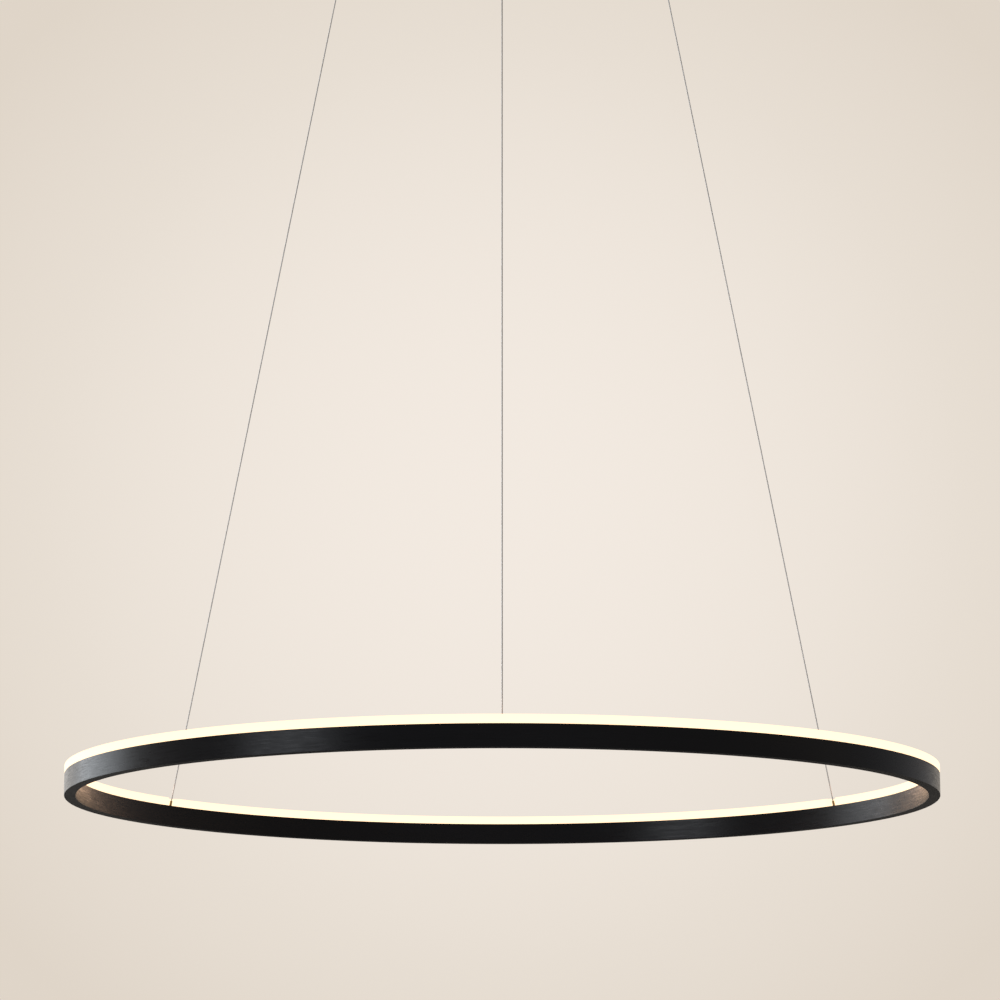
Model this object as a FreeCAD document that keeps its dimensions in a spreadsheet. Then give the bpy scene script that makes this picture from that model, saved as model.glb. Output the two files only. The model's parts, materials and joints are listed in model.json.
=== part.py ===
import FreeCAD, Part

import math
import os
import re

import Sketcher

# Ring pendant light: a slim black channel bent into a ring, lit upwards through an opal bar,
# hung on three steel cables that lean inwards to a round canopy under the ceiling.
# Lengths are in millimetres and angles in degrees. +Z is up and z = 0 is the ceiling.
# Azimuths turn about Z from the front, -Y, towards +X.

SIZES = {
    # Ring channel and opal bar
    "ring_diameter": 800,
    "profile_width": 10.5,
    "profile_height": 19.5,
    "profile_wall": 1.2,
    "profile_floor": 4,
    "profile_edge": 0.4,
    "diffuser_height": 7.5,
    "leg_thickness": 1,
    "leg_depth": 4,
    "channel_gap": 0.2,
    "notch_width": 4.2,
    "notch_flare": 40,
    "notch_back_wall": 4.1,
    # Light strip
    "strip_width": 6,
    "strip_thickness": 0.3,
    "strip_end_gap": 2,
    "chip_length": 3.5,
    "chip_width": 2.8,
    "chip_height": 0.7,
    "chip_pitch": 8.3,
    "chip_end_gap": 6,
    # Cables and how they hang
    "cable_diameter": 1.2,
    "exit_radius": 150,
    "hang_height": 992,
    "far_azimuth": 124.5,
    "cable_tail": 24,
    # Ball terminal on the cable and its socket in the ring
    "anchor_ball_height": 15.5,
    "terminal_ball": 3.8,
    "terminal_shank": 2.3,
    "terminal_length": 9.5,
    "terminal_bore_foot": 1.2,
    "swage_gap": 0.01,
    "ball_gap": 0.3,
    "lift_gap": 0.2,
    "socket_diameter": 6,
    "socket_depth": 3,
    "socket_rise": 2.6,
    "socket_mouth_gap": 0.35,
    "socket_fit": 0.02,
    # Block that holds the socket in the channel, and its screws
    "block_length": 20,
    "block_base": 3,
    "tower_length": 8.6,
    "tower_rise": 0.8,
    "block_screw_spacing": 14,
    "block_screw": 2.4,
    "block_screw_head": 4.2,
    "block_screw_head_height": 1.4,
    "block_screw_bite": 3,
    "recess_share": 0.5,
    "tap_gap": 0.05,
    "tap_depth_gap": 0.2,
    # Canopy
    "canopy_diameter": 340,
    "canopy_height": 38,
    "canopy_sheet": 1.2,
    "canopy_edge": 4,
    "rim_gap": 0.5,
    # Ceiling plate
    "plate_diameter": 240,
    "plate_thickness": 1.5,
    "arm_width": 26,
    "tab_drop": 16,
    "tab_gap": 0.8,
    "bolt_circle": 190,
    "bolt_hole": 5.5,
    # Thumb screws through the canopy's side
    "thumb_screw": 4,
    "thumb_screw_head": 10,
    "thumb_screw_head_length": 6,
    "thumb_screw_grip": 6,
    "thumb_screw_drop": 10,
    "thumb_hole_gap": 0.2,
    # Swivel seat of each hanger, its bush and its nut
    "ball_rise": 4,
    "swivel_ball": 12,
    "seat_flange": 25,
    "seat_flange_thickness": 1.6,
    "seat_sleeve": 19,
    "seat_rise": 4,
    "seat_bore": 14.4,
    "seat_throat": 8.8,
    "seat_throat_drop": 4.5,
    "seat_mouth": 11.4,
    "bush_flange": 28,
    "bush_flange_thickness": 1.2,
    "bush_wall": 1.8,
    "bush_gap": 0.15,
    "nut_across": 25,
    "nut_height": 5,
    # Gripper: barrel, cap, release nozzle, balls and spring
    "barrel_diameter": 9.6,
    "barrel_length": 17,
    "neck_diameter": 5.5,
    "neck_length": 13,
    "cone_foot": 3,
    "cone_top": 9,
    "chamber_diameter": 7.4,
    "cap_plug": 2,
    "cap_height": 1.2,
    "cap_hole_gap": 0.3,
    "nozzle_diameter": 4,
    "nozzle_bore_gap": 0.2,
    "running_gap": 0.08,
    "release_travel": 2,
    "release_gap": 0.2,
    "button_height": 2.8,
    "shoulder_diameter": 6.4,
    "shoulder_foot": 8.4,
    "shoulder_top": 9,
    "jaw_ball": 2.2,
    "jaw_height": 6,
    "jaw_gap": 0.02,
    "jaw_window_gap": 0.1,
    "spring_diameter": 5.5,
    "spring_wire": 0.5,
    # Driver
    "driver_length": 150,
    "driver_width": 40,
    "driver_height": 26,
    "driver_wall": 1.5,
    "ear_length": 12,
    "ear_width": 20,
    "boss_diameter": 6,
    "boss_height": 4,
    "boss_inset": 8,
    "lid_lip": 2,
    "lid_gap": 0.2,
    "board_thickness": 1.6,
    "board_gap": 3,
    "transformer_length": 28,
    "transformer_width": 24,
    "transformer_height": 15,
    "core_thickness": 7,
    "capacitor_diameter": 10,
    "capacitor_height": 14,
    "choke_ring_radius": 6,
    "choke_wire_radius": 3,
    "solder_gap": 0.1,
    "connector_length": 9,
    "connector_width": 20,
    "connector_height": 9,
    "connector_inset": 2.6,
    "lead_hole": 3,
    "lead_exit_spacing": 12,
    "lead_exit_drop": 12.5,
    # Small screws of the plate, and the earth screw
    "plate_screw": 3,
    "plate_screw_head": 5.5,
    "plate_screw_head_height": 2,
    "plate_screw_bite": 1.4,
    "screw_hole_gap": 0.1,
    "earth_x": -62,
    "earth_y": 36,
    "earth_screw": 4,
    "earth_head": 7,
    "earth_head_height": 3,
    "earth_washer": 9,
    "earth_washer_thickness": 1,
    # Mains terminal block
    "block_x": -35,
    "block_y": 62,
    "terminal_width": 16,
    "terminal_span": 30,
    "terminal_height": 14,
    "pole_pitch": 10,
    "wire_entry": 3.2,
    "wire_entry_drop": 7.5,
    "clamp_screw": 3.6,
    "clamp_screw_length": 4.9,
    "clamp_gap": 0.1,
    "slot_share": 0.25,
    "clamp_well_gap": 0.2,
    "clamp_screw_pitch": 10,
    # Cord entry and cord clamp
    "entry_x": 35,
    "entry_y": 90,
    "entry_bore": 14,
    "entry_sleeve": 18.8,
    "entry_flange": 24,
    "entry_flange_thickness": 2,
    "entry_hole_gap": 0.1,
    "saddle_x": 8,
    "saddle_length": 8,
    "saddle_span": 26,
    "saddle_height": 10,
    "saddle_tunnel": 9,
    "saddle_screw_pitch": 19,
    # Leads
    "lead_diameter": 1.8,
    "ring_lead_diameter": 1.2,
    # One overrun serves all cuts
    "overrun": 1,
}

DERIVED = {
    "ring_radius": "ring_diameter / 2",
    "ring_inner": "ring_radius - profile_width",
    "anchor_radius": "ring_radius - profile_width / 2",
    "inward": "anchor_radius - exit_radius",
    "cable_span": "sqrt(inward ^ 2 + hang_height ^ 2)",
    "lean": "atan(inward / hang_height) / 1 deg",
    "seat_z": "canopy_sheet + ball_rise - canopy_height",
    "anchor_z": "seat_z - hang_height",
    "ring_z": "anchor_z - anchor_ball_height",
    "diffuser_z": "ring_z + profile_height",
    "channel_inner": "ring_inner + profile_wall",
    "channel_outer": "ring_radius - profile_wall",
    "channel_width": "profile_width - 2 * profile_wall",
    "floor_z": "ring_z + profile_floor",
    "block_width": "channel_width - 2 * channel_gap",
    "strip_gap": "block_length + 2 * strip_end_gap",
    "strip_top": "floor_z + strip_thickness",
    "cavity": "terminal_ball / 2 + ball_gap",
    "mouth": "terminal_shank / 2 + socket_mouth_gap",
    "cable_radius": "cable_diameter / 2",
    "canopy_radius": "canopy_diameter / 2",
    "canopy_inner": "canopy_radius - canopy_sheet",
    "tab_radius": "canopy_inner - tab_gap",
    "guide_bore": "nozzle_diameter / 2 + running_gap",
    "nozzle_bore": "cable_radius + nozzle_bore_gap",
    "nozzle_foot": "neck_length + release_travel + release_gap",
    "jaw_radius": "cable_radius + jaw_ball / 2 + jaw_gap",
    "seat_cup": "swivel_ball / 2 + ball_gap",
    "seat_foot": "ball_rise + canopy_sheet + bush_flange_thickness + seat_flange_thickness",
    "bush_foot": "ball_rise + canopy_sheet + bush_flange_thickness",
    "bush_bore": "seat_sleeve / 2 + bush_gap",
    "bush_sleeve": "bush_bore + bush_wall",
    "spring_length": "barrel_length - cap_plug - shoulder_top",
    "driver_foot": "plate_thickness + driver_height",
    "board_z": "plate_thickness + driver_wall + boss_height + board_thickness",
    "driver_half": "driver_length / 2",
    "saddle_axis": "plate_thickness + saddle_tunnel / 2",
}

# Each hanger's name, and which way round from the front it hangs as a share of the far azimuth
HANGER_SHARES = {"near": 0, "left": -1, "right": 1}
# The canopy's side screws sit midway between hangers, in degrees or as a share of the far azimuth
ARM_SHARES = (-0.5, 0.5)
HALF_TURN = 180
SIDES = (-1, 1)
SPRING_TURNS = 4
JAW_COUNT = 3
BOLT_COUNT = 3
POLES = (-1, 0, 1)
HEX = 6
# Where the driver's larger components stand, as shares of its half length and half width
TRANSFORMER_SHARES = (0.1, 0)
CAPACITOR_SHARES = ((-0.33, 0.35), (-0.33, -0.35), (0.62, 0.3))
CHOKE_SHARES = (-0.6, 0)
# Each run of a lead gives this share of its length to the bend at either end
BEND_SHARE = 0.45

# Leads inside the canopy, by hand, in millimetres from the origin
LEAD_ROUTES = {
    "live_lead": (
        (-40, 72, -9), (-55, 72, -9), (-78, 68, -10), (-95, 50, -12), (-101, 26, -13.5),
        (-97, 5, -14), (-86, -6, -14), (-71, -6, -14),
    ),
    "neutral_lead": (
        (-40, 62, -9), (-53, 62, -9), (-73, 57, -10), (-87, 43, -12), (-92, 24, -13.5),
        (-85, 6, -14), (-71, 6, -14),
    ),
    "earth_lead": ((-40, 52, -9), (-49, 52, -8.5), (-59, 50, -6), (-62, 45, -4), (-62, 39.6, -4)),
    "positive_lead": (
        (71, 6, -14), (84, 6, -14), (97, 18, -16), (105, 40, -21), (112, 58, -27),
        (117.2, 68.6, -30.3), (120.05, 75.95, -30.3),
    ),
    "negative_lead": (
        (71, -6, -14), (84, -6, -14), (95, -20, -16), (94, -44, -20), (76, -76, -24.5),
        (50, -108, -28), (26, -130, -30.3), (7.65, -144.12, -30.3),
    ),
}
# Leads in the channel, from a socket's side down to the strip: along the ring, across it, above its foot
RING_LEAD_ROUTE = ((3.02, 0, 17.1), (7.4, 0, 17.1), (12, 0, 14.2), (15, 0, 9.4), (15, 0, 4.3))
RING_LEADS = {"near": "negative", "right": "positive"}

doc = FreeCAD.newDocument("RingPendant")
sheet = doc.addObject("Spreadsheet::Sheet", "Sizes")
for row, (word, number) in enumerate(SIZES.items(), start=1):
    sheet.set("A%d" % row, word)
    sheet.set("B%d" % row, str(number))
    sheet.setAlias("B%d" % row, word)
doc.recompute()

derived = doc.addObject("App::VarSet", "Derived")
for word in DERIVED:
    derived.addProperty("App::PropertyFloat", word, "Derived")
scratch = doc.addObject("App::VarSet", "Scratch")
scratch.addProperty("App::PropertyFloat", "answer", "Scratch")


def linked(formula):
    """The formula with each size's word pointing at its cell or derived value"""

    def point(match):
        word = match.group(0)
        if word in SIZES:
            return "Sizes." + word
        if word in DERIVED:
            return "Derived." + word
        return word

    return re.sub(r"[a-z_]+", point, formula)


for word, formula in DERIVED.items():
    derived.setExpression(word, linked(formula))
doc.recompute()


def value(formula):
    """What a formula of the sizes comes to"""
    scratch.setExpression("answer", linked(formula))
    scratch.recompute()
    return scratch.answer


def bind(thing, formulas):
    """Ties a thing's properties to formulas of the sizes"""
    for name, formula in formulas.items():
        thing.setExpression(name, linked(formula))
    return thing


def at(x, y, z):
    """The expressions that put a thing at a point"""
    return {"Placement.Base.x": x, "Placement.Base.y": y, "Placement.Base.z": z}


def box(x, y, z, length, width, height):
    """A block by its low corner and its three sizes"""
    block = doc.addObject("Part::Box", "Block")
    return bind(block, {"Length": length, "Width": width, "Height": height, **at(x, y, z)})


def middle_box(x, y, z, length, width, height):
    """A block centred on x and y, standing on z"""
    return box("%s - (%s) / 2" % (x, length), "%s - (%s) / 2" % (y, width), z, length, width, height)


def rod(x, y, z, radius, height):
    """An upright cylinder on its foot's centre"""
    cylinder = doc.addObject("Part::Cylinder", "Rod")
    return bind(cylinder, {"Radius": radius, "Height": height, **at(x, y, z)})


def turn(thing, rotation):
    """Turns a tool about its own placed point"""
    doc.recompute()
    thing.Placement = FreeCAD.Placement(thing.Placement.Base, rotation)
    return thing


def carry(thing, placement):
    """Carries a tool from its own point into another frame"""
    doc.recompute()
    own = thing.Placement
    for way in ("x", "y", "z"):
        thing.setExpression("Placement.Base." + way, None)
    thing.Placement = placement.multiply(own)
    return thing


def fuse(*things):
    """Things joined into one solid"""
    joined = doc.addObject("Part::MultiFuse", "Joined")
    joined.Shapes = list(things)
    return joined


def group(*things):
    """Things kept as separate solids in one node"""
    gathered = doc.addObject("Part::Compound", "Gathered")
    gathered.Links = list(things)
    return gathered


def cut(base, *tools):
    """A base with every tool taken away"""
    rest = doc.addObject("Part::Cut", "Rest")
    rest.Base = base
    rest.Tool = tools[0] if len(tools) == 1 else fuse(*tools)
    return rest


nodes = []


def keep(thing, name, placement=None):
    """Makes a thing a sub-part: its name, and its place in the light"""
    if placement is not None:
        thing.Placement = placement
    thing.Label = name
    nodes.append(thing)
    return thing


def azimuth_of(hanger):
    """A hanger's azimuth from the front"""
    return HANGER_SHARES[hanger] * value("far_azimuth")


def stand(azimuth, radius, height, lean=0):
    """A place on a circle about Z: X runs round it, -Y points out, Z leans inwards"""
    around = FreeCAD.Rotation(FreeCAD.Vector(0, 0, 1), azimuth)
    tip = FreeCAD.Rotation(FreeCAD.Vector(1, 0, 0), -lean)
    point = around.multVec(FreeCAD.Vector(0, -radius, 0))
    point.z = height
    return FreeCAD.Placement(point, around.multiply(tip))


def upright(hanger, radius, height):
    """A hanger's place on a circle, with Z straight up"""
    return stand(azimuth_of(hanger), value(radius), value(height))


def along_cable(hanger, radius, height):
    """A hanger's place on a circle, with Z up along its cable"""
    return stand(azimuth_of(hanger), value(radius), value(height), value("lean"))


def section(body, corners):
    """A closed outline of (radius, height) corners on the body's XZ plane, each tied to its formulas"""
    sketch = body.newObject("Sketcher::SketchObject", "Section")
    plane = [item for item in body.Origin.OriginFeatures if item.Role == "XZ_Plane"][0]
    sketch.AttachmentSupport = [(plane, "")]
    sketch.MapMode = "FlatFace"
    places = [FreeCAD.Vector(value(x), value(z), 0) for x, z in corners]
    for start, end in zip(places, places[1:] + places[:1]):
        sketch.addGeometry(Part.LineSegment(start, end), False)
    count = len(corners)
    for line in range(count):
        sketch.addConstraint(Sketcher.Constraint("Coincident", line, 2, (line + 1) % count, 1))
    for line, (x, z) in enumerate(corners):
        for way, formula, axis in (("DistanceX", x, -2), ("DistanceY", z, -1)):
            if formula == "0":
                sketch.addConstraint(Sketcher.Constraint("PointOnObject", line, 1, axis))
                continue
            datum = sketch.addConstraint(Sketcher.Constraint(way, -1, 1, line, 1, value(formula)))
            sketch.setExpression("Constraints[%d]" % datum, linked(formula))
    return sketch


def add_turned(body, kind, corners):
    """Turns a section about the body's Z axis, to add it or to take it away"""
    sketch = section(body, corners)
    turned_feature = body.newObject(kind, "Turned")
    turned_feature.Profile = sketch
    turned_feature.ReferenceAxis = (sketch, ["V_Axis"])
    body.Tip = turned_feature
    return turned_feature


def add_ball(body, kind, radius, height):
    """Adds a ball on the body's Z axis, or takes one away"""
    ball = body.newObject(kind, "Ball")
    bind(ball, {"Radius": radius, "Placement.Base.z": height})
    body.Tip = ball
    return ball


def turned(corners, balls=(), hollows=(), cups=()):
    """A turned piece: its section, balls added to it, then sections and balls taken away"""
    body = doc.addObject("PartDesign::Body", "Turning")
    add_turned(body, "PartDesign::Revolution", corners)
    for radius, height in balls:
        add_ball(body, "PartDesign::AdditiveSphere", radius, height)
    for hollow in hollows:
        add_turned(body, "PartDesign::Groove", hollow)
    for radius, height in cups:
        add_ball(body, "PartDesign::SubtractiveSphere", radius, height)
    return body


def round_edges(body, radius, wanted):
    """Rounds the body's edges that pass a test"""
    doc.recompute()
    last = body.Tip
    names = ["Edge%d" % n for n, edge in enumerate(last.Shape.Edges, start=1) if wanted(edge)]
    fillet = body.newObject("PartDesign::Fillet", "Rounding")
    fillet.Base = (last, names)
    bind(fillet, {"Radius": radius})
    body.Tip = fillet


def ring_channel():
    """The black channel: a U section turned into a ring, with tapped holes for the socket blocks"""
    body = turned(
        (
            ("ring_inner", "ring_z"),
            ("ring_radius", "ring_z"),
            ("ring_radius", "diffuser_z"),
            ("channel_outer", "diffuser_z"),
            ("channel_outer", "floor_z"),
            ("channel_inner", "floor_z"),
            ("channel_inner", "diffuser_z"),
            ("ring_inner", "diffuser_z"),
        )
    )
    foot = value("ring_z")
    near = value("profile_edge") / 2

    def at_foot(edge):
        return abs(edge.BoundBox.ZMin - foot) < near and edge.BoundBox.ZLength < near

    round_edges(body, "profile_edge", at_foot)
    taps = []
    for hanger in HANGER_SHARES:
        for side in SIDES:
            place = upright(hanger, "anchor_radius", "floor_z - block_screw_bite - tap_depth_gap")
            x = "%d * block_screw_spacing / 2" % side
            depth = "block_screw_bite + tap_depth_gap + overrun"
            taps.append(carry(rod(x, "0", "0", "block_screw / 2 + tap_gap", depth), place))
    keep(cut(body, *taps), "ring_channel")


def notch_tool(hanger):
    """The tool that cuts a cable's notch, which widens towards the ring's middle"""
    depth = "profile_width - notch_back_wall + overrun"
    mouth = "(notch_width / 2 + (%s) * tan(notch_flare * 1 deg))" % depth
    height = "diffuser_height + overrun"
    tool = doc.addObject("Part::Wedge", "Notch")
    shape = {
        "Xmin": "-notch_width / 2",
        "Xmax": "notch_width / 2",
        "X2min": "-" + mouth,
        "X2max": mouth,
        "Ymin": "notch_back_wall - profile_width / 2",
        "Ymax": "profile_width / 2 + overrun",
        "Zmin": "0",
        "Zmax": height,
        "Z2min": "0",
        "Z2max": height,
    }
    return carry(bind(tool, shape), upright(hanger, "anchor_radius", "diffuser_z"))


def opal_diffuser():
    """The glowing bar on the channel: flush cap, two legs in the channel, a notch at each cable"""
    inner_leg = "channel_inner + channel_gap"
    outer_leg = "channel_outer - channel_gap"
    top = "diffuser_z + diffuser_height"
    body = turned(
        (
            ("ring_inner", "diffuser_z"),
            (inner_leg, "diffuser_z"),
            (inner_leg, "diffuser_z - leg_depth"),
            (inner_leg + " + leg_thickness", "diffuser_z - leg_depth"),
            (inner_leg + " + leg_thickness", "diffuser_z"),
            (outer_leg + " - leg_thickness", "diffuser_z"),
            (outer_leg + " - leg_thickness", "diffuser_z - leg_depth"),
            (outer_leg, "diffuser_z - leg_depth"),
            (outer_leg, "diffuser_z"),
            ("ring_radius", "diffuser_z"),
            ("ring_radius", top),
            ("ring_inner", top),
        )
    )
    tools = []
    for hanger in HANGER_SHARES:
        depth = "leg_depth + overrun"
        legs = middle_box("0", "0", "-leg_depth - overrun", "strip_gap", "profile_width", depth)
        place = upright(hanger, "anchor_radius", "diffuser_z")
        tools += [notch_tool(hanger), carry(legs, place)]
    keep(cut(body, *tools), "opal_diffuser")


def light_strip():
    """The flexible board on the channel's floor, in three arcs between the socket blocks"""
    half = "strip_width / 2"
    body = turned(
        (
            ("anchor_radius - " + half, "floor_z"),
            ("anchor_radius + " + half, "floor_z"),
            ("anchor_radius + " + half, "strip_top"),
            ("anchor_radius - " + half, "strip_top"),
        )
    )
    gaps = []
    for hanger in HANGER_SHARES:
        gap = middle_box("0", "0", "0", "strip_gap", "profile_width", "profile_height")
        gaps.append(carry(gap, upright(hanger, "anchor_radius", "ring_z")))
    keep(cut(body, *gaps), "light_strip")


def light_chips():
    """The emitters, evenly spaced along each arc of the strip"""
    radius = value("anchor_radius")
    length = value("chip_length")
    width = value("chip_width")
    margin = math.degrees(value("strip_gap / 2 + chip_end_gap") / radius)
    pitch = math.degrees(value("chip_pitch") / radius)
    stops = sorted(azimuth_of(hanger) for hanger in HANGER_SHARES)
    solids = []
    for start, end in zip(stops, stops[1:] + [stops[0] + 2 * HALF_TURN]):
        arc = end - start - 2 * margin
        steps = int(arc / pitch)
        for step in range(steps + 1):
            corner = FreeCAD.Vector(-length / 2, -width / 2, 0)
            chip = Part.makeBox(length, width, value("chip_height"), corner)
            chip.Placement = stand(start + margin + arc * step / steps, radius, value("strip_top"))
            solids.append(chip)
    chips = doc.addObject("Part::Feature", "Chips")
    chips.Shape = Part.makeCompound(solids)
    keep(chips, "light_chips")


def socket_block(hanger):
    """The plastic block that carries a cable's socket in the channel"""
    base = middle_box("0", "0", "profile_floor", "block_length", "block_width", "block_base")
    tower_height = "anchor_ball_height + tower_rise - profile_floor"
    tower = middle_box("0", "0", "profile_floor", "tower_length", "block_width", tower_height)
    depth = "socket_depth + profile_height"
    seat = rod("0", "0", "-socket_depth", "socket_diameter / 2 + socket_fit", depth)
    carry(seat, stand(0, 0, value("anchor_ball_height"), value("lean")))
    holes = []
    for side in SIDES:
        x = "%d * block_screw_spacing / 2" % side
        holes.append(rod(x, "0", "0", "block_screw / 2 + screw_hole_gap", "profile_height"))
    block = cut(fuse(base, tower), seat, *holes)
    keep(block, hanger + "_socket_block", upright(hanger, "anchor_radius", "ring_z"))


def cable_socket(hanger):
    """The brass socket that holds the cable's ball, open above for its shank"""
    socket = turned(
        (
            ("0", "-socket_depth"),
            ("socket_diameter / 2", "-socket_depth"),
            ("socket_diameter / 2", "socket_rise"),
            ("0", "socket_rise"),
        ),
        hollows=(
            (
                ("0", "-socket_depth"),
                ("cavity", "-socket_depth"),
                ("cavity", "lift_gap"),
                ("mouth", "lift_gap"),
                ("mouth", "socket_rise"),
                ("0", "socket_rise"),
            ),
        ),
        cups=(("cavity", "lift_gap"),),
    )
    keep(socket, hanger + "_cable_socket", along_cable(hanger, "anchor_radius", "anchor_z"))


def small_screw(diameter, head, head_height, length):
    """A round-headed screw that points up from z = 0, its hex recess in the head's underside"""
    shank = rod("0", "0", "0", diameter + " / 2", length)
    cap = rod("0", "0", "-" + head_height, head + " / 2", head_height)
    recess = doc.addObject("Part::Prism", "Recess")
    recess.Polygon = HEX
    size = {"Circumradius": head + " / 2 * recess_share", "Height": head_height + " * recess_share"}
    bind(recess, {**size, **at("0", "0", "-" + head_height)})
    return cut(fuse(shank, cap), recess)


def block_screws():
    """The six screws that hold the socket blocks down to the channel's floor"""
    screws = []
    down = FreeCAD.Rotation(FreeCAD.Vector(1, 0, 0), HALF_TURN)
    for hanger in HANGER_SHARES:
        for side in SIDES:
            screw = small_screw(
                "block_screw", "block_screw_head", "block_screw_head_height", "block_base + block_screw_bite"
            )
            offset = FreeCAD.Vector(side * value("block_screw_spacing / 2"), 0, 0)
            place = upright(hanger, "anchor_radius", "floor_z + block_base")
            screw.Placement = place.multiply(FreeCAD.Placement(offset, down))
            screws.append(screw)
    keep(group(*screws), "block_screws")


def cable_terminal(hanger):
    """The brass ball and shank swaged on the cable's lower end"""
    terminal = turned(
        (
            ("0", "0"),
            ("terminal_shank / 2", "0"),
            ("terminal_shank / 2", "terminal_length"),
            ("0", "terminal_length"),
        ),
        balls=(("terminal_ball / 2", "0"),),
        hollows=(
            (
                ("0", "terminal_bore_foot"),
                ("cable_radius + swage_gap", "terminal_bore_foot"),
                ("cable_radius + swage_gap", "terminal_length"),
                ("0", "terminal_length"),
            ),
        ),
    )
    keep(terminal, hanger + "_cable_terminal", along_cable(hanger, "anchor_radius", "anchor_z"))


def cable(hanger):
    """A straight steel cable, from inside its terminal up through the gripper to its cut end"""
    foot = "terminal_bore_foot - cable_span"
    strand = doc.addObject("Part::Cylinder", "Strand")
    bind(strand, {"Radius": "cable_radius", "Height": "cable_span - terminal_bore_foot + cable_tail"})
    place = along_cable(hanger, "exit_radius", "seat_z")
    down = FreeCAD.Placement(FreeCAD.Vector(0, 0, value(foot)), FreeCAD.Rotation())
    keep(strand, hanger + "_cable", place.multiply(down))


def gripper_barrel(hanger):
    """The gripper's barrel on its swivel ball, with the cone that wedges the jaw balls"""
    barrel = turned(
        (
            ("0", "-neck_length"),
            ("neck_diameter / 2", "-neck_length"),
            ("neck_diameter / 2", "0"),
            ("barrel_diameter / 2", "0"),
            ("barrel_diameter / 2", "barrel_length"),
            ("0", "barrel_length"),
        ),
        balls=(("swivel_ball / 2", "0"),),
        hollows=(
            (
                ("0", "-neck_length"),
                ("guide_bore", "-neck_length"),
                ("guide_bore", "cone_foot"),
                ("chamber_diameter / 2", "cone_top"),
                ("chamber_diameter / 2", "barrel_length"),
                ("0", "barrel_length"),
            ),
        ),
    )
    keep(barrel, hanger + "_gripper_barrel", along_cable(hanger, "exit_radius", "seat_z"))


def gripper_cap(hanger):
    """The cap in the barrel's top, which the spring pushes against"""
    hole = "cable_radius + cap_hole_gap"
    plug = "chamber_diameter / 2 - bush_gap"
    cap = turned(
        (
            (hole, "barrel_length - cap_plug"),
            (plug, "barrel_length - cap_plug"),
            (plug, "barrel_length"),
            ("barrel_diameter / 2", "barrel_length"),
            ("barrel_diameter / 2", "barrel_length + cap_height"),
            (hole, "barrel_length + cap_height"),
        )
    )
    keep(cap, hanger + "_gripper_cap", along_cable(hanger, "exit_radius", "seat_z"))


def release_nozzle(hanger):
    """The nozzle that is pushed up to free the cable: its button below, its ball cage above"""
    body = turned(
        (
            ("nozzle_bore", "-nozzle_foot - button_height"),
            ("neck_diameter / 2", "-nozzle_foot - button_height"),
            ("neck_diameter / 2", "-nozzle_foot"),
            ("nozzle_diameter / 2", "-nozzle_foot"),
            ("nozzle_diameter / 2", "shoulder_foot"),
            ("shoulder_diameter / 2", "shoulder_foot"),
            ("shoulder_diameter / 2", "shoulder_top"),
            ("nozzle_bore", "shoulder_top"),
        )
    )
    windows = []
    for ball in range(JAW_COUNT):
        window = rod("0", "0", "jaw_height", "jaw_ball / 2 + jaw_window_gap", "shoulder_diameter / 2")
        windows.append(turn(window, outward(ball)))
    keep(cut(body, *windows), hanger + "_release_nozzle", along_cable(hanger, "exit_radius", "seat_z"))


def outward(ball):
    """The rotation that lays Z along a jaw ball's direction"""
    about = FreeCAD.Rotation(FreeCAD.Vector(0, 0, 1), 2 * HALF_TURN * ball / JAW_COUNT)
    return about.multiply(FreeCAD.Rotation(FreeCAD.Vector(0, 1, 0), HALF_TURN / 2))


def jaw_balls(hanger):
    """The three balls that grip the cable, held in the nozzle's cage"""
    balls = []
    for ball in range(JAW_COUNT):
        jaw = bind(doc.addObject("Part::Sphere", "Jaw"), {"Radius": "jaw_ball / 2"})
        out = outward(ball).multVec(FreeCAD.Vector(0, 0, value("jaw_radius")))
        jaw.Placement = FreeCAD.Placement(
            out + FreeCAD.Vector(0, 0, value("jaw_height")), FreeCAD.Rotation()
        )
        balls.append(jaw)
    keep(group(*balls), hanger + "_jaw_balls", along_cable(hanger, "exit_radius", "seat_z"))


def gripper_spring(hanger):
    """The coil spring between the cage's shoulder and the cap"""
    wire = value("spring_wire / 2")
    radius = value("spring_diameter / 2")
    rise = value("spring_length - spring_wire")
    foot = value("shoulder_top") + wire
    helix = Part.makeHelix(rise / SPRING_TURNS, rise, radius)
    helix.translate(FreeCAD.Vector(0, 0, foot))
    ring = Part.Wire([Part.makeCircle(wire, FreeCAD.Vector(radius, 0, foot), FreeCAD.Vector(0, 1, 0))])
    coil = Part.Wire(helix.Edges).makePipeShell([ring], True, True)
    spring = doc.addObject("Part::Feature", "Coil")
    spring.Shape = coil
    keep(spring, hanger + "_gripper_spring", along_cable(hanger, "exit_radius", "seat_z"))


def swivel_seat(hanger):
    """The seat in the canopy's floor that the gripper's ball swivels in"""
    seat = turned(
        (
            ("seat_mouth / 2", "-seat_foot"),
            ("seat_flange / 2", "-seat_foot"),
            ("seat_flange / 2", "-bush_foot"),
            ("seat_sleeve / 2", "-bush_foot"),
            ("seat_sleeve / 2", "seat_rise"),
            ("seat_bore / 2", "seat_rise"),
            ("seat_bore / 2", "0"),
            ("seat_throat / 2", "0"),
            ("seat_throat / 2", "-seat_throat_drop"),
        ),
        cups=(("seat_cup", "0"),),
    )
    keep(seat, hanger + "_swivel_seat", upright(hanger, "exit_radius", "seat_z"))


def seat_bush(hanger):
    """The plastic bush that keeps the live seat off the canopy"""
    bush = turned(
        (
            ("bush_bore", "-bush_foot"),
            ("bush_flange / 2", "-bush_foot"),
            ("bush_flange / 2", "-ball_rise - canopy_sheet"),
            ("bush_sleeve", "-ball_rise - canopy_sheet"),
            ("bush_sleeve", "-ball_rise"),
            ("bush_bore", "-ball_rise"),
        )
    )
    keep(bush, hanger + "_seat_bush", upright(hanger, "exit_radius", "seat_z"))


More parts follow.
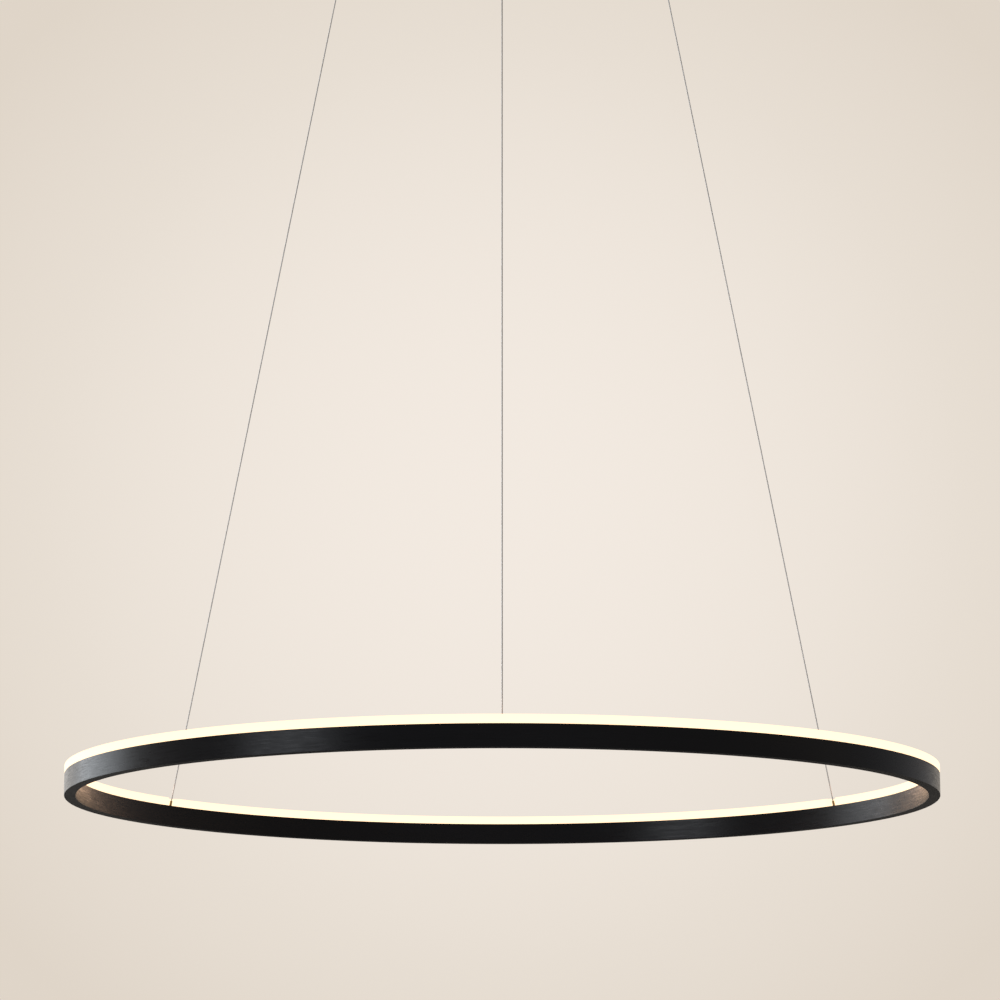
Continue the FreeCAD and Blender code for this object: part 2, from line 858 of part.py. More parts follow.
def seat_nuts():
    """The three plastic nuts that hold the seats from inside the canopy"""
    nuts = []
    for hanger in HANGER_SHARES:
        hexagon = doc.addObject("Part::Prism", "Hexagon")
        hexagon.Polygon = HEX
        corner = math.cos(math.pi / HEX)
        size = {"Circumradius": "nut_across / 2 / %r" % corner, "Height": "nut_height"}
        bind(hexagon, {**size, **at("0", "0", "-ball_rise")})
        bore = rod("0", "0", "-ball_rise - overrun", "bush_bore", "nut_height + 2 * overrun")
        nuts.append(carry(cut(hexagon, bore), upright(hanger, "exit_radius", "seat_z")))
    keep(group(*nuts), "seat_nuts")


def arm_azimuths():
    """Where the ceiling plate's arms reach out to the canopy's side screws"""
    return [HALF_TURN] + [share * value("far_azimuth") for share in ARM_SHARES]


def radial_rods(inner, outer, radius, drop):
    """Rods that lie along the arms' radii, for holes and screws"""
    rods = []
    for azimuth in arm_azimuths():
        bar = rod("0", "0", "0", radius, "%s - (%s)" % (outer, inner))
        turn(bar, FreeCAD.Rotation(FreeCAD.Vector(1, 0, 0), HALF_TURN / 2))
        rods.append(carry(bar, stand(azimuth, value(inner), -value(drop))))
    return rods


def canopy_shell():
    """The round pan that covers the ceiling plate and carries the three hangers"""
    body = turned(
        (
            ("0", "-canopy_height"),
            ("canopy_radius", "-canopy_height"),
            ("canopy_radius", "-rim_gap"),
            ("canopy_inner", "-rim_gap"),
            ("canopy_inner", "canopy_sheet - canopy_height"),
            ("0", "canopy_sheet - canopy_height"),
        )
    )
    reach = value("canopy_radius")
    foot = -value("canopy_height")
    near = value("canopy_sheet") / 2

    def lower_rim(edge):
        size = edge.BoundBox
        return abs(size.ZMax - foot) < near and abs(size.XMax - reach) < near

    round_edges(body, "canopy_edge", lower_rim)

    def inner_corner(edge):
        size = edge.BoundBox
        level = abs(size.ZMax - foot - value("canopy_sheet")) < near
        return level and abs(size.XMax - value("canopy_inner")) < near

    round_edges(body, "canopy_edge - canopy_sheet", inner_corner)
    holes = []
    for hanger in HANGER_SHARES:
        hole = rod("0", "0", "0", "bush_sleeve + bush_gap", "canopy_sheet + 2 * overrun")
        holes.append(carry(hole, upright(hanger, "exit_radius", "-canopy_height - overrun")))
    inner = "canopy_inner - overrun"
    outer = "canopy_radius + overrun"
    side = radial_rods(inner, outer, "thumb_screw / 2 + thumb_hole_gap", "thumb_screw_drop")
    keep(cut(body, *holes, *side), "canopy_shell")


def small_screw_places():
    """Centres of the small screws up into the plate, and how thick a piece each one holds"""
    ear = "driver_half + ear_length / 2"
    places = [("%d * (%s)" % (side, ear), "0", "driver_wall") for side in SIDES]
    half = "pole_pitch / 2"
    places += [("block_x", "block_y + %d * %s" % (side, half), "terminal_height") for side in SIDES]
    half = "saddle_screw_pitch / 2"
    places += [("saddle_x", "entry_y + %d * %s" % (side, half), "saddle_height") for side in SIDES]
    return places


def bolt_azimuths():
    """Where the ceiling screws go, evenly round the bolt circle"""
    return [2 * HALF_TURN * bolt / BOLT_COUNT for bolt in range(BOLT_COUNT)]


def ceiling_plate():
    """The steel plate on the ceiling: a disc, and three arms whose tabs take the canopy's screws"""
    disc = rod("0", "0", "-plate_thickness", "plate_diameter / 2", "plate_thickness")
    parts = [disc]
    for azimuth in arm_azimuths():
        arm = middle_box("0", "0", "-plate_thickness", "arm_width", "tab_radius", "plate_thickness")
        tab = middle_box("0", "0", "-plate_thickness - tab_drop", "arm_width", "plate_thickness", "tab_drop")
        parts.append(carry(arm, stand(azimuth, value("tab_radius / 2"), 0)))
        parts.append(carry(tab, stand(azimuth, value("tab_radius - plate_thickness / 2"), 0)))
    deep = "plate_thickness + 2 * overrun"
    under = "-plate_thickness - overrun"
    holes = [rod("entry_x", "entry_y", under, "entry_sleeve / 2 + entry_hole_gap", deep)]
    holes.append(rod("earth_x", "earth_y", under, "earth_screw / 2 + tap_gap", deep))
    for azimuth in bolt_azimuths():
        hole = rod("0", "0", "0", "bolt_hole / 2", deep)
        holes.append(carry(hole, stand(azimuth, value("bolt_circle / 2"), value(under))))
    for x, y, _ in small_screw_places():
        holes.append(rod(x, y, under, "plate_screw / 2 + tap_gap", deep))
    side = radial_rods(
        "tab_radius - plate_thickness - overrun", "tab_radius + overrun", "thumb_screw / 2 + tap_gap",
        "thumb_screw_drop",
    )
    keep(cut(fuse(*parts), *holes, *side), "ceiling_plate")


def thumb_screws():
    """The three side screws that hold the canopy to the plate's tabs"""
    tip = "canopy_radius - thumb_screw_grip"
    reach = "canopy_radius + thumb_screw_head_length"
    shanks = radial_rods(tip, "canopy_radius", "thumb_screw / 2", "thumb_screw_drop")
    heads = radial_rods("canopy_radius", reach, "thumb_screw_head / 2", "thumb_screw_drop")
    keep(group(*[fuse(shank, head) for shank, head in zip(shanks, heads)]), "thumb_screws")


def plate_screws():
    """The small screws that hold the driver, the terminal block and the saddle to the plate"""
    screws = []
    for x, y, thickness in small_screw_places():
        screw = small_screw(
            "plate_screw", "plate_screw_head", "plate_screw_head_height", thickness + " + plate_screw_bite"
        )
        screws.append(bind(screw, at(x, y, "-plate_thickness - " + thickness)))
    keep(group(*screws), "plate_screws")


def earth_screw():
    """The screw and washer that earth the plate"""
    bite = "earth_washer_thickness + plate_screw_bite"
    screw = small_screw("earth_screw", "earth_head", "earth_head_height", bite)
    disc = rod("0", "0", "0", "earth_washer / 2", "earth_washer_thickness")
    hole = "earth_screw / 2 + screw_hole_gap"
    bore = rod("0", "0", "-overrun", hole, "earth_washer_thickness + 2 * overrun")
    both = group(screw, cut(disc, bore))
    keep(bind(both, at("earth_x", "earth_y", "-plate_thickness - earth_washer_thickness")), "earth_screw")


def entry_grommet():
    """The bush in the plate that the house cord comes through"""
    bush = turned(
        (
            ("entry_bore / 2", "-plate_thickness - entry_flange_thickness"),
            ("entry_flange / 2", "-plate_thickness - entry_flange_thickness"),
            ("entry_flange / 2", "-plate_thickness"),
            ("entry_sleeve / 2", "-plate_thickness"),
            ("entry_sleeve / 2", "0"),
            ("entry_bore / 2", "0"),
        )
    )
    place = FreeCAD.Placement(FreeCAD.Vector(value("entry_x"), value("entry_y"), 0), FreeCAD.Rotation())
    keep(bush, "entry_grommet", place)


def cord_saddle():
    """The saddle that clamps the house cord to the plate"""
    low = "-plate_thickness - saddle_height"
    block = middle_box("saddle_x", "entry_y", low, "saddle_length", "saddle_span", "saddle_height")
    tunnel = rod(
        "saddle_x - saddle_length / 2 - overrun", "entry_y", "-saddle_axis", "saddle_tunnel / 2",
        "saddle_length + 2 * overrun",
    )
    turn(tunnel, FreeCAD.Rotation(FreeCAD.Vector(0, 1, 0), HALF_TURN / 2))
    mouth = middle_box(
        "saddle_x", "entry_y", "-saddle_axis", "saddle_length + 2 * overrun", "saddle_tunnel", "saddle_tunnel"
    )
    holes = []
    for side in SIDES:
        y = "entry_y + %d * saddle_screw_pitch / 2" % side
        radius = "plate_screw / 2 + screw_hole_gap"
        holes.append(rod("saddle_x", y, low + " - overrun", radius, "saddle_height + 2 * overrun"))
    keep(cut(block, tunnel, mouth, *holes), "cord_saddle")


def terminal_block():
    """The mains terminal block: three poles, each with a wire way through and two screw wells"""
    foot = "-plate_thickness - terminal_height"
    body = middle_box("block_x", "block_y", foot, "terminal_width", "terminal_span", "terminal_height")
    tools = []
    for pole in POLES:
        y = "block_y + %d * pole_pitch" % pole
        low = "-plate_thickness - wire_entry_drop - wire_entry / 2"
        wide = "terminal_width + 2 * overrun"
        tools.append(middle_box("block_x", y, low, wide, "wire_entry", "wire_entry"))
        for side in SIDES:
            x = "block_x + %d * clamp_screw_pitch / 2" % side
            depth = "terminal_height - wire_entry_drop + overrun"
            tools.append(rod(x, y, foot + " - overrun", "clamp_screw / 2 + clamp_well_gap", depth))
    for side in SIDES:
        y = "block_y + %d * pole_pitch / 2" % side
        deep = "terminal_height + 2 * overrun"
        tools.append(rod("block_x", y, foot + " - overrun", "plate_screw / 2 + screw_hole_gap", deep))
    keep(cut(body, *tools), "terminal_block")


def terminal_screws():
    """The six screws that clamp the wires in the terminal block"""
    top = "-plate_thickness - wire_entry_drop - lead_diameter / 2 - clamp_gap"
    screws = []
    for pole in POLES:
        for side in SIDES:
            x = "block_x + %d * clamp_screw_pitch / 2" % side
            y = "block_y + %d * pole_pitch" % pole
            foot = top + " - clamp_screw_length"
            body = rod(x, y, foot, "clamp_screw / 2", "clamp_screw_length")
            deep = "clamp_screw * slot_share"
            slot = middle_box(x, y, foot + " - overrun", "clamp_screw", deep, deep + " + overrun")
            screws.append(cut(body, slot))
    keep(group(*screws), "terminal_screws")


def driver_case():
    """The driver's case: an open tray under the plate, with ears, lead holes and board bosses"""
    top = "-plate_thickness"
    side_wall = "driver_height - driver_wall"
    tray = middle_box("0", "0", "driver_wall - driver_foot", "driver_length", "driver_width", side_wall)
    hollow = middle_box(
        "0", "0", "driver_wall - driver_foot - overrun", "driver_length - 2 * driver_wall",
        "driver_width - 2 * driver_wall", "driver_height - 2 * driver_wall + overrun",
    )
    full = "driver_length + 2 * ear_length"
    ears = middle_box("0", "0", top + " - driver_wall", full, "ear_width", "driver_wall")
    bosses = []
    for side in SIDES:
        for flank in SIDES:
            x = "%d * (driver_half - boss_inset)" % side
            y = "%d * (driver_width / 2 - boss_inset)" % flank
            z = top + " - driver_wall - boss_height"
            bosses.append(rod(x, y, z, "boss_diameter / 2", "boss_height"))
    holes = []
    for side in SIDES:
        x = "%d * (driver_half + ear_length / 2)" % side
        hole = rod(x, "0", top + " - driver_wall - overrun", "plate_screw / 2 + screw_hole_gap",
                   "driver_wall + 2 * overrun")
        holes.append(hole)
    holes += driver_lead_holes()
    keep(cut(fuse(cut(tray, hollow), ears, *bosses), *holes), "driver_case")


def driver_lead_holes():
    """Holes in the case's two end walls for the leads"""
    holes = []
    for side in SIDES:
        for flank in SIDES:
            x = "%d * (driver_half - driver_wall - overrun)" % side
            y = "%d * lead_exit_spacing / 2" % flank
            z = "-plate_thickness - lead_exit_drop"
            hole = rod(x, y, z, "lead_hole / 2", "driver_wall + 2 * overrun")
            holes.append(turn(hole, FreeCAD.Rotation(FreeCAD.Vector(0, 1, 0), side * HALF_TURN / 2)))
    return holes


def driver_lid():
    """The lid that closes the driver's case from below"""
    sheet_metal = middle_box("0", "0", "-driver_foot", "driver_length", "driver_width", "driver_wall")
    inside = "driver_length - 2 * driver_wall - 2 * lid_gap"
    across = "driver_width - 2 * driver_wall - 2 * lid_gap"
    top = "driver_wall - driver_foot"
    lip = middle_box("0", "0", top, inside, across, "lid_lip")
    hollow = middle_box(
        "0", "0", top, inside + " - 2 * driver_wall", across + " - 2 * driver_wall", "lid_lip + overrun"
    )
    keep(fuse(sheet_metal, cut(lip, hollow)), "driver_lid")


def driver_board():
    """The driver's circuit board, on the case's bosses"""
    length = "driver_length - 2 * driver_wall - board_gap"
    width = "driver_width - 2 * driver_wall - board_gap"
    keep(middle_box("0", "0", "-board_z", length, width, "board_thickness"), "driver_board")


def driver_components():
    """The larger components under the driver's board"""
    half_length = value("driver_half")
    half_width = value("driver_width / 2")

    def spot(shares):
        x_share, y_share = shares
        return str(half_length * x_share), str(half_width * y_share)

    x, y = spot(TRANSFORMER_SHARES)
    height = "transformer_height"
    winding = middle_box(x, y, "-board_z - " + height, "transformer_length", "core_thickness * 2", height)
    core = middle_box(x, y, "-board_z - " + height, "core_thickness * 2", "transformer_width", height)
    pieces = [fuse(winding, core)]
    for shares in CAPACITOR_SHARES:
        x, y = spot(shares)
        pieces.append(rod(x, y, "-board_z - capacitor_height", "capacitor_diameter / 2", "capacitor_height"))
    x, y = spot(CHOKE_SHARES)
    choke = doc.addObject("Part::Torus", "Choke")
    depth = "-board_z - choke_wire_radius - solder_gap"
    bind(choke, {"Radius1": "choke_ring_radius", "Radius2": "choke_wire_radius", **at(x, y, depth)})
    pieces.append(choke)
    for side in SIDES:
        x = "%d * (driver_half - driver_wall - connector_inset - connector_length / 2)" % side
        low = "-board_z - connector_height"
        size = ("connector_length", "connector_width", "connector_height")
        pieces.append(middle_box(x, "0", low, *size))
    keep(group(*pieces), "driver_components")


def lead(name, points, diameter, placement=None):
    """A lead along straight runs joined by tangent arcs as wide as the runs allow"""
    places = [FreeCAD.Vector(*point) for point in points]
    edges = []
    start = places[0]
    radii = []
    length = 0
    for before, corner, after in zip(places, places[1:], places[2:]):
        back = (before - corner).normalize()
        on = (after - corner).normalize()
        bend = math.pi - back.getAngle(on)
        trim = BEND_SHARE * min(before.distanceToPoint(corner), corner.distanceToPoint(after))
        radius = trim / math.tan(bend / 2)
        first = corner + back * trim
        last = corner + on * trim
        towards = (back + on).normalize()
        reach = radius / math.cos(bend / 2) - radius
        edges.append(Part.LineSegment(start, first).toShape())
        edges.append(Part.Arc(first, corner + towards * reach, last).toShape())
        length += start.distanceToPoint(first) + radius * bend
        radii.append(round(radius, 1))
        start = last
    edges.append(Part.LineSegment(start, places[-1]).toShape())
    length += start.distanceToPoint(places[-1])
    ring = Part.makeCircle(value(diameter + " / 2"), places[0], places[1] - places[0])
    shape = Part.Wire(edges).makePipeShell([Part.Wire([ring])], True, True)
    expected = math.pi * value(diameter + " / 2") ** 2 * length
    ratio = round(shape.Volume / expected, 4)
    print(name, "length", round(length, 1), "bend radii", radii, "volume ratio", ratio)
    conductor = doc.addObject("Part::Feature", "Lead")
    conductor.Shape = shape
    keep(conductor, name, placement)


def canopy_pieces():
    """Everything that stays with the ceiling"""
    ceiling_plate()
    entry_grommet()
    cord_saddle()
    canopy_shell()
    thumb_screws()
    seat_nuts()
    terminal_block()
    terminal_screws()
    earth_screw()
    driver_case()
    driver_lid()
    driver_board()
    driver_components()
    plate_screws()
    for name, route in LEAD_ROUTES.items():
        lead(name, route, "lead_diameter")


def ring_pieces():
    """Everything that swings with the ring"""
    ring_channel()
    opal_diffuser()
    light_strip()
    light_chips()
    block_screws()
    for hanger in HANGER_SHARES:
        socket_block(hanger)
        cable_socket(hanger)
    for hanger, pole in RING_LEADS.items():
        place = upright(hanger, "anchor_radius", "ring_z")
        lead("ring_%s_lead" % pole, RING_LEAD_ROUTE, "ring_lead_diameter", place)


def hanger_pieces(hanger):
    """One cable with its seat and gripper above and its terminal below"""
    swivel_seat(hanger)
    seat_bush(hanger)
    gripper_barrel(hanger)
    gripper_cap(hanger)
    gripper_spring(hanger)
    release_nozzle(hanger)
    jaw_balls(hanger)
    cable(hanger)
    cable_terminal(hanger)


def check():
    """Stops if anything failed to build"""
    for thing in doc.Objects:
        bad = [state for state in thing.State if state in ("Invalid", "Error")]
        if bad:
            raise RuntimeError("%s (%s) is %s" % (thing.Name, thing.Label, bad))
    for node in nodes:
        if node.Shape.isNull() or not node.Shape.isValid():
            raise RuntimeError("%s has no valid shape" % node.Label)
        if not node.Shape.Solids:
            raise RuntimeError("%s has no solid" % node.Label)


canopy_pieces()
ring_pieces()
for hanger in HANGER_SHARES:
    hanger_pieces(hanger)
doc.recompute()
check()

os.makedirs("parts", exist_ok=True)
for node in nodes:
    node.Shape.exportStep(os.path.join("parts", node.Label + ".step"))
    print("%-24s %d solids %10.1f mm3" % (node.Label, len(node.Shape.Solids), node.Shape.Volume))
for word in ("seat_z", "anchor_z", "ring_z", "lean", "cable_span", "anchor_radius", "tab_radius"):
    print(word, round(value(word), 4))
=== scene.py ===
import json
import math

import bmesh
import bpy
from mathutils import Matrix, Vector


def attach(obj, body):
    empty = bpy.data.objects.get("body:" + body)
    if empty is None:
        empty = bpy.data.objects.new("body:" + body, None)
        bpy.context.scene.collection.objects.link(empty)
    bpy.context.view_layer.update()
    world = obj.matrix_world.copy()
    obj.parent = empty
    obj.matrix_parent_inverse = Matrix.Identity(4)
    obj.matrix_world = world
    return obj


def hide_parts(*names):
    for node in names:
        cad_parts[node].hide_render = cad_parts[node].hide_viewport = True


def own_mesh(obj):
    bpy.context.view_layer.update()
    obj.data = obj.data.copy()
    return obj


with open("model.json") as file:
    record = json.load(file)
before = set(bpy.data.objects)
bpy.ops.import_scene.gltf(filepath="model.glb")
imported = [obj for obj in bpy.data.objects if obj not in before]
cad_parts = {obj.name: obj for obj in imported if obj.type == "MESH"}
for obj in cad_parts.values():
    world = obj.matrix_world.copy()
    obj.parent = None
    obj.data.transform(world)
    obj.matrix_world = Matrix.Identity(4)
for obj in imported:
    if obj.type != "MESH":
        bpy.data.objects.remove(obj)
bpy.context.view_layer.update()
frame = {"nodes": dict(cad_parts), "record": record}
nodes = frame["nodes"]

# Sizes shared with the solids, in metres
RING_RADIUS = 0.4
ANCHOR_RADIUS = 0.39475
EXIT_RADIUS = 0.15
SEAT_Z = -0.0328
ANCHOR_Z = -1.0248
RING_Z = -1.0403
CHANNEL_HEIGHT = 0.0195
PROFILE_HEIGHT = 0.027
CABLE_RADIUS = 0.0006
CABLE_STRANDS = 6
CABLE_LAY = 0.0085
CABLE_STEP = 0.0008
CABLE_TAIL = 0.024
TERMINAL_FOOT = 0.0012
FAR = math.radians(124.5)
AZIMUTHS = {"near": 0.0, "left": -FAR, "right": FAR}
LEAN = math.atan2(ANCHOR_RADIUS - EXIT_RADIUS, SEAT_Z - ANCHOR_Z)
SPAN = math.hypot(ANCHOR_RADIUS - EXIT_RADIUS, SEAT_Z - ANCHOR_Z)
CANOPY_RADIUS = 0.17
SCREW_Z = -0.01
SCREW_HEAD_RADIUS = 0.005
SCREW_HEAD_LENGTH = 0.006
SCREW_SHANK_RADIUS = 0.002
SCREW_GRIP = 0.006
SCREW_FLUTES = 26
SCREW_FLUTE_LAND = 0.00007
SCREW_FLUTE_DEPTH = 0.0002
SCREW_RIM = 0.0012
SCREW_DISH_SLOPE = 0.0004
SCREW_DISH_DEPTH = 0.0005
SCREW_HEAD_EDGE = 0.0003
SCREW_TIP_EDGE = 0.0004
SCREW_AZIMUTHS = (math.pi, FAR / 2, -FAR / 2)
SPRING_FOOT = 0.009
SPRING_TOP = 0.015
SPRING_RADIUS = 0.00275
SPRING_WIRE = 0.0005
SPRING_TURNS = 4

# The photograph's view, and the light round the part
VIEW_LENS = 135.17
VIEW_DISTANCE = 3.4385
VIEW_DROP = 0.3808
VIEW_RISE = math.radians(10.903)
VIEW_TURN = math.radians(0.033)
FLOOR_Z = -7.2
DIM_BEARING = math.radians(55)
GLOW_LAMPS = 10
GLOW_RADIUS = 0.392
GLOW_RISE = 0.036


def cable_point(azimuth, rise):
    """A point on a cable's line, this far up it from the seat's centre"""
    radius = EXIT_RADIUS - math.sin(LEAN) * rise
    return Vector((
        math.sin(azimuth) * radius,
        -math.cos(azimuth) * radius,
        SEAT_Z + math.cos(LEAN) * rise,
    ))


# Materials

def new_material(name):
    """An empty material with its output and its shader"""
    material = bpy.data.materials.new(name)
    material.use_nodes = True
    tree = material.node_tree
    shader = tree.nodes["Principled BSDF"]
    return material, tree, shader


def put(tree, kind, **settings):
    """Adds a node and sets its properties and input values"""
    node = tree.nodes.new(kind)
    for key, setting in settings.items():
        if key.startswith("in_"):
            node.inputs[key[3:].replace("_", " ")].default_value = setting
        else:
            setattr(node, key, setting)
    return node


def math_node(tree, operation, first, second=None):
    """A math node on two values, each a socket or a number"""
    node = put(tree, "ShaderNodeMath", operation=operation)
    for slot, given in enumerate((first, second)):
        if given is None:
            continue
        if isinstance(given, bpy.types.NodeSocket):
            tree.links.new(given, node.inputs[slot])
        else:
            node.inputs[slot].default_value = given
    return node.outputs[0]


def stretch(tree, scale=(1, 1, 1), socket=None):
    """Coordinates stretched by a scale on each axis, Object coordinates if none are given"""
    mapping = put(tree, "ShaderNodeMapping", in_Scale=scale)
    if socket is None:
        socket = put(tree, "ShaderNodeTexCoord").outputs["Object"]
    tree.links.new(socket, mapping.inputs["Vector"])
    return mapping.outputs["Vector"]


def noise(tree, vector, scale, detail=4.0, roughness=0.55):
    """A noise value along a vector"""
    texture = put(
        tree, "ShaderNodeTexNoise", in_Scale=scale, in_Detail=detail, in_Roughness=roughness,
    )
    tree.links.new(vector, texture.inputs["Vector"])
    return texture.outputs["Fac"]


def spread(tree, value, low, high, start=0.3, end=0.7):
    """Maps a value onto a range"""
    node = put(
        tree, "ShaderNodeMapRange",
        in_From_Min=start, in_From_Max=end, in_To_Min=low, in_To_Max=high,
    )
    tree.links.new(value, node.inputs["Value"])
    return node.outputs["Result"]


def ramp(tree, value, stops):
    """A colour ramp with stops of place and colour"""
    node = put(tree, "ShaderNodeValToRGB")
    elements = node.color_ramp.elements
    while len(elements) < len(stops):
        elements.new(1.0)
    for element, (place, colour) in zip(elements, stops):
        element.position = place
        element.color = (*colour, 1)
    tree.links.new(value, node.inputs["Fac"])
    return node.outputs["Color"]


def bump(tree, shader, height, strength, distance):
    """Raises the surface by a value"""
    node = put(tree, "ShaderNodeBump", in_Strength=strength, in_Distance=distance)
    tree.links.new(height, node.inputs["Height"])
    tree.links.new(node.outputs["Normal"], shader.inputs["Normal"])


def blend(tree, first, second, share):
    """Two values in one, the first by its share and the second by the rest"""
    return math_node(
        tree, "ADD",
        math_node(tree, "MULTIPLY", first, share),
        math_node(tree, "MULTIPLY", second, 1 - share),
    )


def shade(colour, factor):
    """A colour made lighter or darker"""
    return tuple(min(1.0, part * factor) for part in colour)


def round_coordinates(tree):
    """Coordinates that run round the Z axis: arc length, radius and height"""
    place = put(tree, "ShaderNodeTexCoord")
    parts = put(tree, "ShaderNodeSeparateXYZ")
    tree.links.new(place.outputs["Object"], parts.inputs[0])
    x, y, z = parts.outputs
    angle = math_node(tree, "ARCTAN2", y, x)
    arc = math_node(tree, "MULTIPLY", angle, RING_RADIUS)
    x_square = math_node(tree, "MULTIPLY", x, x)
    y_square = math_node(tree, "MULTIPLY", y, y)
    radius = math_node(tree, "SQRT", math_node(tree, "ADD", x_square, y_square))
    joined = put(tree, "ShaderNodeCombineXYZ")
    for slot, socket in enumerate((arc, radius, z)):
        tree.links.new(socket, joined.inputs[slot])
    return joined.outputs[0], z


def brushed_ring():
    """Black anodised aluminium, brushed round the ring and dull on its underside"""
    material, tree, shader = new_material("black_aluminium")
    around, _ = round_coordinates(tree)
    lines = noise(tree, stretch(tree, (14, 4200, 4200), around), 1.0, 6.0, 0.62)
    broad = noise(tree, stretch(tree, (55, 700, 700), around), 1.0, 3.0)
    colour = ramp(tree, lines, (
        (0.25, (0.0008, 0.0011, 0.002)),
        (0.75, (0.0026, 0.0032, 0.005)),
    ))
    tree.links.new(colour, shader.inputs["Base Color"])
    wear = blend(tree, lines, broad, 0.4)
    facing = put(tree, "ShaderNodeSeparateXYZ")
    tree.links.new(put(tree, "ShaderNodeNewGeometry").outputs["Normal"], facing.inputs[0])
    under = spread(tree, facing.outputs["Z"], 0.6, 0, -0.9, -0.5)
    rough = math_node(tree, "ADD", spread(tree, wear, 0.2, 0.46), under)
    tree.links.new(rough, shader.inputs["Roughness"])
    shader.inputs["Specular IOR Level"].default_value = 0.085
    shader.inputs["Anisotropic"].default_value = 0.6
    shader.inputs["Anisotropic Rotation"].default_value = 0.25
    tangent = put(tree, "ShaderNodeTangent", direction_type="RADIAL", axis="Z")
    tree.links.new(tangent.outputs[0], shader.inputs["Tangent"])
    bump(tree, shader, lines, 0.35, 0.00004)
    return material


def opal():
    """Satin acrylic lit from inside: a strong warm white, deeper down by the metal"""
    material, tree, shader = new_material("opal_acrylic")
    around, z = round_coordinates(tree)
    shader.inputs["Base Color"].default_value = (0.13, 0.1, 0.045, 1)
    shader.inputs["Roughness"].default_value = 0.5
    shader.inputs["Specular IOR Level"].default_value = 0.04
    rise = spread(tree, z, 0, 1, RING_Z + CHANNEL_HEIGHT - 0.004, RING_Z + PROFILE_HEIGHT)
    cloud = noise(tree, stretch(tree, (26, 500, 500), around), 1.0, 2.0)
    level = math_node(tree, "ADD", rise, math_node(tree, "MULTIPLY", cloud, 0.12))
    colour = ramp(tree, level, (
        (0.0, (0.5, 0.34, 0.17)),
        (0.2, (0.86, 0.62, 0.38)),
        (0.55, (1.0, 0.7, 0.45)),
        (1.0, (0.95, 0.66, 0.435)),
    ))
    tree.links.new(colour, shader.inputs["Emission Color"])
    shader.inputs["Emission Strength"].default_value = 1.75
    grain = noise(tree, stretch(tree), 2600, 2.0)
    bump(tree, shader, grain, 0.12, 0.00003)
    return material


def painted(name, colour):
    """Powder coat: a fine orange peel over an even colour with faint clouds"""
    material, tree, shader = new_material(name)
    clouds = noise(tree, stretch(tree), 28, 3.0)
    tone = ramp(tree, clouds, ((0.3, shade(colour, 0.86)), (0.7, shade(colour, 1.16))))
    tree.links.new(tone, shader.inputs["Base Color"])
    peel = noise(tree, stretch(tree), 1500, 3.0)
    tree.links.new(spread(tree, peel, 0.36, 0.5), shader.inputs["Roughness"])
    shader.inputs["Specular IOR Level"].default_value = 0.28
    bump(tree, shader, peel, 0.4, 0.00004)
    return material


def moulded(name, colour, rough, specular=0.45):
    """Moulded plastic: a fine spark-eroded grain and soft flow marks"""
    material, tree, shader = new_material(name)
    flow = noise(tree, stretch(tree, (1, 1, 0.4)), 60, 4.0)
    tone = ramp(tree, flow, ((0.3, shade(colour, 0.9)), (0.7, shade(colour, 1.07))))
    tree.links.new(tone, shader.inputs["Base Color"])
    grain = noise(tree, stretch(tree), 3200, 2.0)
    tree.links.new(spread(tree, grain, rough - 0.05, rough + 0.1), shader.inputs["Roughness"])
    shader.inputs["Specular IOR Level"].default_value = specular
    bump(tree, shader, grain, 0.25, 0.00003)
    return material


def turned_metal(name, colour, rough):
    """Turned metal: tool lines round the piece and a few dull patches"""
    material, tree, shader = new_material(name)
    shader.inputs["Metallic"].default_value = 1.0
    tool = noise(tree, stretch(tree, (60, 60, 7000)), 1.0, 3.0)
    dull = noise(tree, stretch(tree), 180, 4.0)
    tone = ramp(tree, dull, ((0.3, shade(colour, 0.8)), (0.7, shade(colour, 1.1))))
    tree.links.new(tone, shader.inputs["Base Color"])
    wear = blend(tree, tool, dull, 0.5)
    tree.links.new(spread(tree, wear, rough - 0.08, rough + 0.16), shader.inputs["Roughness"])
    bump(tree, shader, tool, 0.3, 0.00002)
    return material


def zinc(name, colour, cell=230):
    """Zinc on steel: crystal spangles in two greys, with rolling lines"""
    material, tree, shader = new_material(name)
    shader.inputs["Metallic"].default_value = 1.0
    cells = put(tree, "ShaderNodeTexVoronoi", in_Scale=cell)
    tree.links.new(stretch(tree), cells.inputs["Vector"])
    grey = put(tree, "ShaderNodeRGBToBW")
    tree.links.new(cells.outputs["Color"], grey.inputs[0])
    tone = ramp(tree, grey.outputs[0], ((0.2, shade(colour, 0.91)), (0.8, shade(colour, 1.05))))
    tree.links.new(tone, shader.inputs["Base Color"])
    tree.links.new(spread(tree, grey.outputs[0], 0.36, 0.5, 0.2, 0.8), shader.inputs["Roughness"])
    rolling = noise(tree, stretch(tree, (900, 20, 20)), 1.0, 3.0)
    bump(tree, shader, rolling, 0.15, 0.00003)
    return material


def wire_rope(name, colour):
    """Fine steel wires: each strand's wires show as slanting lines"""
    material, tree, shader = new_material(name)
    shader.inputs["Metallic"].default_value = 1.0
    wires = noise(tree, stretch(tree, (9000, 9000, 2200)), 1.0, 2.0)
    dull = noise(tree, stretch(tree, (40, 40, 12)), 1.0, 4.0)
    tone = ramp(tree, dull, ((0.3, shade(colour, 0.9)), (0.7, shade(colour, 1.06))))
    tree.links.new(tone, shader.inputs["Base Color"])
    tree.links.new(spread(tree, wires, 0.4, 0.58), shader.inputs["Roughness"])
    bump(tree, shader, wires, 0.25, 0.00002)
    return material


